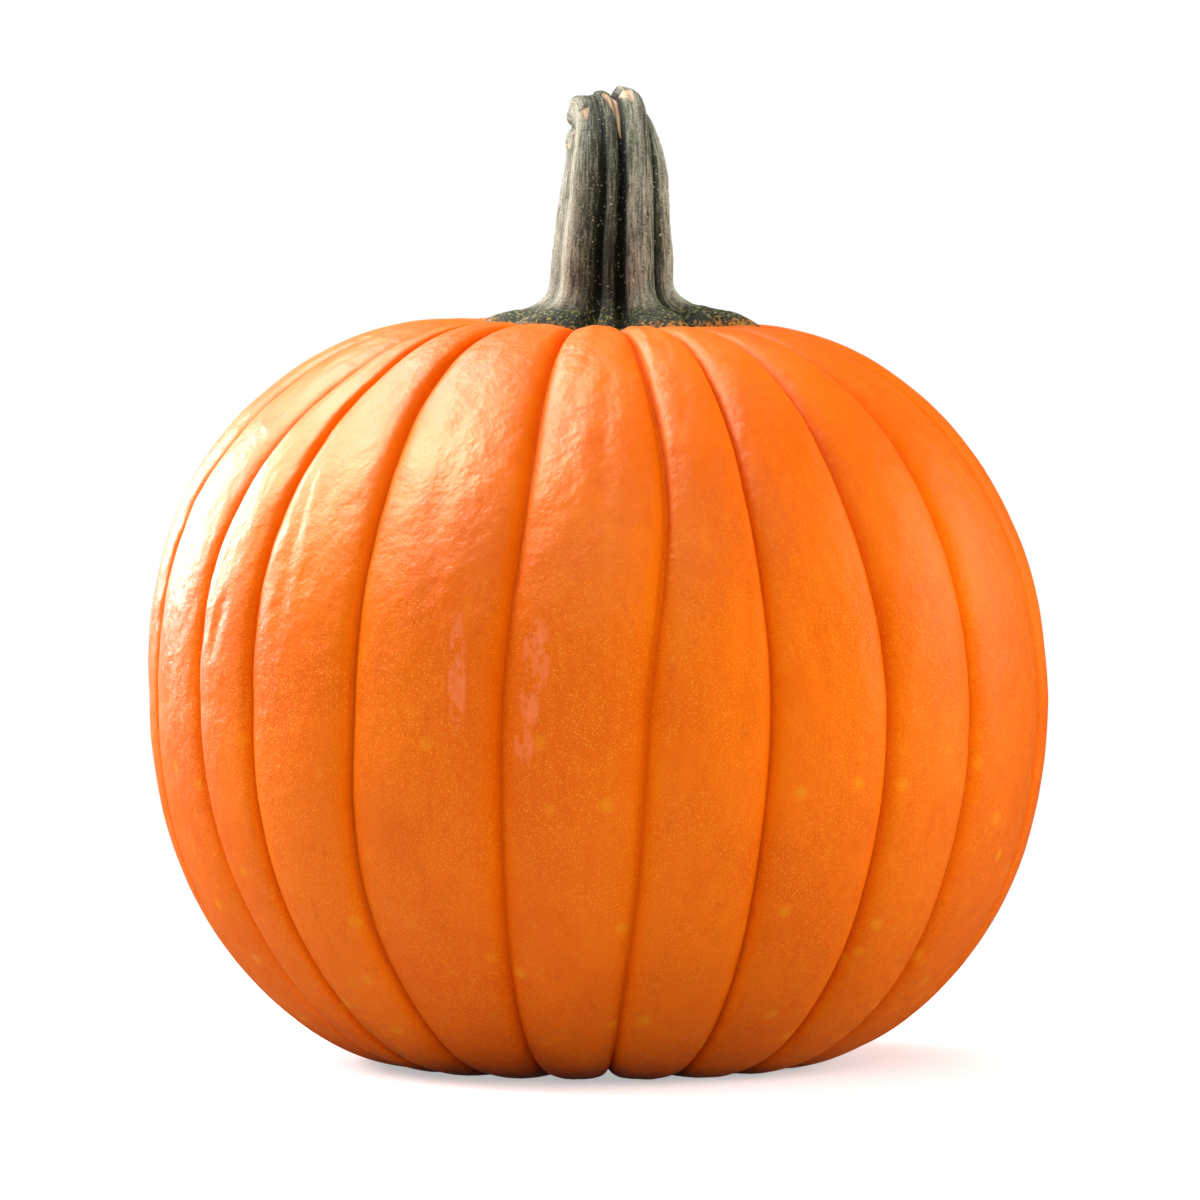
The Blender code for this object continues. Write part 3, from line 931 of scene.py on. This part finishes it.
def rind_material():
    r = Recipe("rind")
    furrow = r.attribute("furrow")
    flank = r.attribute("flank")
    speckles = rind_speckles(r)
    worn_and_highlight = rind_scuffs_and_highlights(r)
    flecks = r.span(r.noise(r.place(0.6), 520.0, 3.0, 0.7), 0.44, 0.60)
    mottled = r.noise(r.place(), 260.0, 4.0, 0.7)

    colour = r.tint(rind_ground(r), speckles, 0.92, SPECKLE)
    colour = r.tint(colour, rind_spots(r), 0.54, SOFT_SPOT)
    # Pink patches: partly rubbed skin, partly a painted highlight.
    colour = r.tint(colour, worn_and_highlight, 0.92, SCUFF_AND_HIGHLIGHT_PINK)
    colour = r.tint(colour, r.times(worn_and_highlight, flecks), 0.45, SCUFF_AND_HIGHLIGHT_FLECK)
    # Painted shade: the skin is painted darker towards each furrow, and darkest down in it.
    colour = r.tint(colour, flank, 0.25, FLANK_PAINTED_SHADE)
    colour = r.tint(colour, furrow, 0.40, FURROW_PAINTED_SHADE)
    colour = rind_crown(r, colour, mottled)

    # The corky scar where the blossom dropped off.
    cork = r.span(r.frayed(r.attribute("blossom"), mottled, 0.5), 0.35, 0.60)
    grain = r.span(r.noise(r.place(), 900.0, 3.0), 0.35, 0.65)
    colour = r.mix(cork, colour, r.mix(grain, CORK_DARK, CORK_PALE))

    # The skin is waxy, and duller where it is rubbed or corky and down in the furrows.
    dry = r.math("MAXIMUM", r.times(worn_and_highlight, 0.05), r.times(cork, 0.35))
    waxy = r.span(r.noise(r.place(), 60.0, 3.0), 0.3, 0.7, 0.36, 0.43)
    rough = r.math("ADD", r.plus(waxy, dry), r.times(furrow, 0.32), clamp=True)
    shine = r.span(flank, 0.10, 0.70, SKIN_SHINE, FURROW_SHINE)
    relief = rind_relief(r, r.math("SUBTRACT", speckles, worn_and_highlight))
    r.fill(r.shader, {"Base Color": colour, "Roughness": rough, "Normal": relief})
    r.fill(r.shader, {"IOR": PLANT_IOR, "Specular IOR Level": shine, "Specular Tint": SKIN_SHEEN})
    return r.material


OLIVE_BLACK = (0.026, 0.026, 0.012)
OLIVE_GREY = (0.105, 0.098, 0.054)
WEATHERED_DARK = (0.350, 0.325, 0.235)
WEATHERED_PALE = (0.540, 0.505, 0.385)
CREST_PAINTED_HIGHLIGHT = (0.55, 0.51, 0.38)
DARK_CRACK = (0.014, 0.014, 0.006)
LIGHT_FIBRE = (0.52, 0.485, 0.34)
DARK_FIBRE = (0.022, 0.020, 0.010)
DARK_GRAIN = (0.026, 0.025, 0.013)
LIGHT_GRAIN = (0.50, 0.47, 0.34)
MOSS = (0.062, 0.085, 0.018)
FRONT_PAINTED_SHADE = (0.012, 0.013, 0.008)
VALLEY_PAINTED_SHADE = (0.007, 0.007, 0.004)
WART = (0.60, 0.54, 0.38)
FOOT_BLACK = (0.008, 0.011, 0.004)
FOOT_YELLOW = (0.32, 0.29, 0.085)
TIP_OCHRE = (0.50, 0.21, 0.025)
WOOD_DARK = (0.40, 0.22, 0.11)
WOOD_PALE = (0.78, 0.56, 0.35)
FIBRE_STRETCH = 0.11
STREAK_STRETCH = 0.06
GROOVE_DEPTH = 0.00085
LUMP_DEPTH = 0.00040
WART_RISE = 0.00035


def bark_ground(r, pale, streak):
    """Olive bark that is weathered pale on some ridges, with a painted highlight along the crests,
    and cracked dark along its length.
    """
    patch = r.span(r.noise(r.place(0.35), 120.0, 3.0, 0.6), 0.35, 0.65)
    weathered = r.mix(patch, WEATHERED_DARK, WEATHERED_PALE)
    colour = r.mix(pale, r.mix(patch, OLIVE_BLACK, OLIVE_GREY), weathered)
    # Painted highlight: the crests are painted lighter, most on the pale ridges.
    crest_highlight = r.times(r.attribute("crest"), r.line(pale, 0.30, 0.06))
    colour = r.mix(crest_highlight, colour, CREST_PAINTED_HIGHLIGHT)
    cracked = r.times(r.span(streak, 0.52, 0.36, 0.0, 0.85), r.line(pale, -0.70, 1.0))
    return r.mix(cracked, colour, DARK_CRACK)


def bark_fibres(r, colour, pale, fibre):
    """Light and dark fibres along the stem, and a finer grain over them."""
    light = r.times(r.span(fibre, 0.50, 0.60), r.line(pale, 0.35, 0.32))
    colour = r.mix(light, colour, LIGHT_FIBRE)
    dark = r.times(r.span(fibre, 0.50, 0.38, 0.0, 0.85), r.line(pale, -0.40, 1.0))
    colour = r.mix(dark, colour, DARK_FIBRE)
    grain = r.noise(r.place(), 1500.0, 4.0, 0.70)
    colour = r.mix(r.span(grain, 0.48, 0.37, 0.0, 0.62), colour, DARK_GRAIN)
    return r.mix(r.span(grain, 0.56, 0.66, 0.0, 0.40), colour, LIGHT_GRAIN)


def bark_moss_and_painted_shade(r, colour, streak):
    """Moss in patches, painted shade low down on the front, and painted shade in the valleys."""
    valley = r.attribute("valley")
    patchy = r.span(r.noise(r.place(), 150.0, 3.0), 0.46, 0.66)
    mossy = r.times(patchy, r.plus(0.15, valley))
    colour = r.mix(r.math("MULTIPLY", mossy, 0.75, clamp=True), colour, MOSS)
    # Painted shade: low down on the front the bark is painted near black.
    painted_shade = r.times(r.attribute("shade"), r.span(streak, 0.66, 0.50, 0.55, 0.96))
    colour = r.mix(painted_shade, colour, FRONT_PAINTED_SHADE)
    # Painted shade: the valleys are painted near black.
    return r.mix(r.span(valley, 0.15, 0.75, 0.0, 0.95), colour, VALLEY_PAINTED_SHADE)


def bark_warts(r):
    """Small pale warts, crowded in some places."""
    crowded = r.span(r.noise(r.place(), 110.0), 0.42, 0.60, 0.25, 1.0)
    return r.times(r.dots(r.place(), 900.0, 0.40, 0.20, 0.62, 0.72), crowded)


def bark_feet(r, colour):
    """Roots darken to a mossy black flecked with yellow, and turn ochre where they meet the skin."""
    root = r.attribute("root")
    mottled = r.noise(r.place(), 760.0, 4.0, 0.75)
    flecked = r.mix(r.span(mottled, 0.51, 0.63), FOOT_BLACK, FOOT_YELLOW)
    colour = r.tint(colour, r.span(root, 0.02, 0.45), 0.93, flecked)
    return r.mix(r.span(r.frayed(root, mottled, 1.6), 0.90, 1.06), colour, TIP_OCHRE)


def bark_wood(r, colour, fibre):
    """Pale wood on the broken end and in the torn strips."""
    grain = r.span(r.noise(r.unrolled(FIBRE_STRETCH), 700.0, 3.0), 0.35, 0.65)
    bare = r.math("MAXIMUM", r.attribute("end"), r.attribute("torn"))
    broken = r.span(r.frayed(bare, fibre, 0.4), 0.40, 0.60)
    return r.mix(broken, colour, r.mix(grain, WOOD_DARK, WOOD_PALE))


def bark_material():
    r = Recipe("stem_bark")
    pale = r.attribute("pale")
    fibre = r.noise(r.unrolled(FIBRE_STRETCH), 1350.0, 5.0, 0.72)
    streak = r.noise(r.unrolled(STREAK_STRETCH), 560.0, 4.0, 0.65)
    warts = bark_warts(r)

    colour = bark_ground(r, pale, streak)
    colour = bark_fibres(r, colour, pale, fibre)
    colour = bark_moss_and_painted_shade(r, colour, streak)
    colour = r.tint(colour, warts, 0.85, WART)
    colour = bark_feet(r, colour)
    colour = bark_wood(r, colour, fibre)

    rough = r.span(fibre, 0.3, 0.7, 0.85, 0.66)
    grooves = r.bump(fibre, GROOVE_DEPTH)
    lumps = r.bump(r.noise(r.place(), 620.0, 4.0, 0.65), LUMP_DEPTH, grooves)
    relief = r.bump(warts, WART_RISE, lumps)
    r.fill(r.shader, {"Base Color": colour, "Roughness": rough, "Normal": relief})
    r.fill(r.shader, {"IOR": PLANT_IOR, "Specular IOR Level": BARK_SHINE})
    return r.material


# ---------------------------------------------------------------- the pumpkin


def axis_place(skin_rings):
    """Where the plant's axis stands: the skin keeps to the middle of the fruit's box."""
    points = skin_rings.reshape(-1, 3)
    middle = (points.min(axis=0) + points.max(axis=0)) / 2.0
    box_middle = (np.array(FRUIT_BOX[0]) + np.array(FRUIT_BOX[1])) / 2.0
    return (box_middle - middle) * (1.0, 1.0, 0.0)


rings, crown, base, values = fruit_skin()
axis = axis_place(rings)
skin = mesh_from_rings("pumpkin_skin", rings + axis, crown + axis, base + axis, values)
skin.data.materials.append(rind_material())
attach(skin, "root")
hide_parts("fruit")

rings, pith, underneath, values = stem_bark()
bark = mesh_from_rings("pumpkin_stem", rings + axis, pith + axis, underneath + axis, values)
bark.data.materials.append(bark_material())
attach(bark, "root")
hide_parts("stem")


# ---------------------------------------------------------------- the studio

WHITE = (1.0, 1.0, 1.0)
FLOOR_REACH = 6.0
FLOOR_PAINT = (0.80, 0.80, 0.80)
FLOOR_BOUNCE = (0.55, 0.55, 0.55)
FLOOR_GLOW = 0.45
FLOOR_ROUGHNESS = 0.9
FLOOR_PLAIN_FROM = 0.25
FLOOR_PLAIN_BY = 0.60

WORLD_FILL = 0.12
WORLD_SHEEN = 0.04

CAMERA_DISTANCE = 2.4
CAMERA_ELEVATION = 2.5
CAMERA_LENS = 213.9
CAMERA_SENSOR = 36.0
AIM_RIGHT = 0.0006
AIM_RISE = 0.0315

# Square lamps that face the pumpkin: azimuth, elevation, distance, size, power, and the kind. A
# fill lamp shows in no highlight, a shine lamp shows only in highlights, and a key does both.
LIT_MIDDLE = Vector((0.0, 0.0, 0.15))
SOFTBOXES = (
    ("left_side", -103.0, 26.0, 1.9, 0.6, 19.0, "fill"),
    ("left_high", -105.0, 48.0, 1.9, 0.6, 18.0, "fill"),
    ("left_rear", -122.0, 20.0, 1.9, 0.6, 17.0, "fill"),
    ("left_back", -145.0, 45.0, 1.9, 0.6, 14.0, "key"),
    ("shine_left", -131.0, 16.0, 1.9, 0.7, 58.0, "shine"),
    ("shine_wide", -98.0, 40.0, 1.9, 1.5, 60.0, "shine"),
    ("shine_high", -78.0, 54.0, 2.0, 1.1, 84.0, "shine"),
    ("shine_top", -112.0, 68.0, 1.9, 1.2, 46.0, "shine"),
    ("front", 0.0, 30.0, 2.0, 1.2, 11.5, "fill"),
    ("top_front", -15.0, 68.0, 2.0, 1.2, 7.0, "fill"),
    ("right_high", 35.0, 45.0, 2.0, 1.2, 9.5, "fill"),
    ("right_side", 92.0, 10.0, 2.0, 1.2, 30.0, "fill"),
    ("right_back", 112.0, 20.0, 1.9, 0.9, 5.0, "key"),
    ("top_back", 180.0, 60.0, 1.9, 1.2, 10.0, "fill"),
    ("back", -170.0, 35.0, 1.9, 1.2, 6.5, "fill"),
)


def direction(azimuth, elevation):
    """The way out to a place that is this far round from the front and this far up."""
    turn = math.radians(azimuth)
    rise = math.radians(elevation)
    flat = math.cos(rise)
    return Vector((math.sin(turn) * flat, -math.cos(turn) * flat, math.sin(rise)))


def floor_material():
    """Pale paint round the pumpkin, which turns into plain white light further away."""
    r = Recipe("floor")
    seen = r.add("LightPath", {}).outputs["Is Camera Ray"]
    r.fill(r.shader, {"Base Color": FLOOR_PAINT, "Roughness": FLOOR_ROUGHNESS})
    r.fill(r.shader, {"Emission Color": WHITE, "Emission Strength": FLOOR_GLOW})
    white = r.add("Emission", {"Color": WHITE, "Strength": 1.0}).outputs["Emission"]
    where = r.add("TexCoord", {}).outputs["Object"]
    distance = r.add("VectorMath", {0: where}, operation="LENGTH").outputs["Value"]
    far = r.span(distance, FLOOR_PLAIN_FROM, FLOOR_PLAIN_BY)
    looks = r.add("MixShader", {0: far, 1: r.shader.outputs["BSDF"], 2: white}).outputs["Shader"]
    dim = r.add("BsdfDiffuse", {"Color": FLOOR_BOUNCE}).outputs["BSDF"]
    joined = r.add("MixShader", {0: seen, 1: dim, 2: looks}).outputs["Shader"]
    r.tree.links.new(joined, r.tree.nodes["Material Output"].inputs["Surface"])
    return r.material


def studio_floor():
    mesh = bpy.data.meshes.new("studio_floor")
    corners = [(-1, -1), (1, -1), (1, 1), (-1, 1)]
    points = [(FLOOR_REACH * x, FLOOR_REACH * y, 0.0) for x, y in corners]
    mesh.from_pydata(points, [], [(0, 1, 2, 3)])
    mesh.materials.append(floor_material())
    made = link(mesh, "studio_floor")
    made.visible_glossy = False
    return made


def long_camera():
    """Far off with a long lens, a little above the widest level."""
    data = bpy.data.cameras.new("camera")
    data.sensor_width = CAMERA_SENSOR
    data.lens = CAMERA_LENS
    made = link(data, "camera")
    widest = Vector((0.0, 0.0, WIDEST_LEVEL))
    aim = widest + Vector((AIM_RIGHT, 0.0, AIM_RISE))
    made.location = widest + direction(0.0, CAMERA_ELEVATION) * CAMERA_DISTANCE
    made.rotation_euler = (aim - made.location).to_track_quat("-Z", "Y").to_euler()
    return made


def studio_world():
    """White to the camera, and a dim even fill to everything it lights."""
    world = bpy.data.worlds.new("studio")
    world.use_nodes = True
    tree = world.node_tree
    sent = tree.nodes["Background"]
    sent.inputs["Color"].default_value = (*WHITE, 1.0)
    ray = tree.nodes.new("ShaderNodeLightPath")
    mirrored = tree.nodes.new("ShaderNodeMix")
    mirrored.inputs["A"].default_value = WORLD_FILL
    mirrored.inputs["B"].default_value = WORLD_SHEEN
    seen = tree.nodes.new("ShaderNodeMix")
    seen.inputs["B"].default_value = 1.0
    tree.links.new(ray.outputs["Is Glossy Ray"], mirrored.inputs["Factor"])
    tree.links.new(ray.outputs["Is Camera Ray"], seen.inputs["Factor"])
    tree.links.new(mirrored.outputs["Result"], seen.inputs["A"])
    tree.links.new(seen.outputs["Result"], sent.inputs["Strength"])
    return world


def softbox(name, azimuth, elevation, distance, size, power, kind):
    data = bpy.data.lights.new(name, "AREA")
    data.shape = "SQUARE"
    data.size = size
    data.energy = power
    lamp = link(data, name)
    lamp.visible_glossy = kind != "fill"
    lamp.visible_diffuse = kind != "shine"
    way = direction(azimuth, elevation)
    lamp.location = LIT_MIDDLE + way * distance
    lamp.rotation_euler = (-way).to_track_quat("-Z", "Y").to_euler()


studio_floor()
scene.camera = long_camera()
scene.view_settings.view_transform = "Standard"
scene.world = studio_world()
for row in SOFTBOXES:
    softbox(*row)
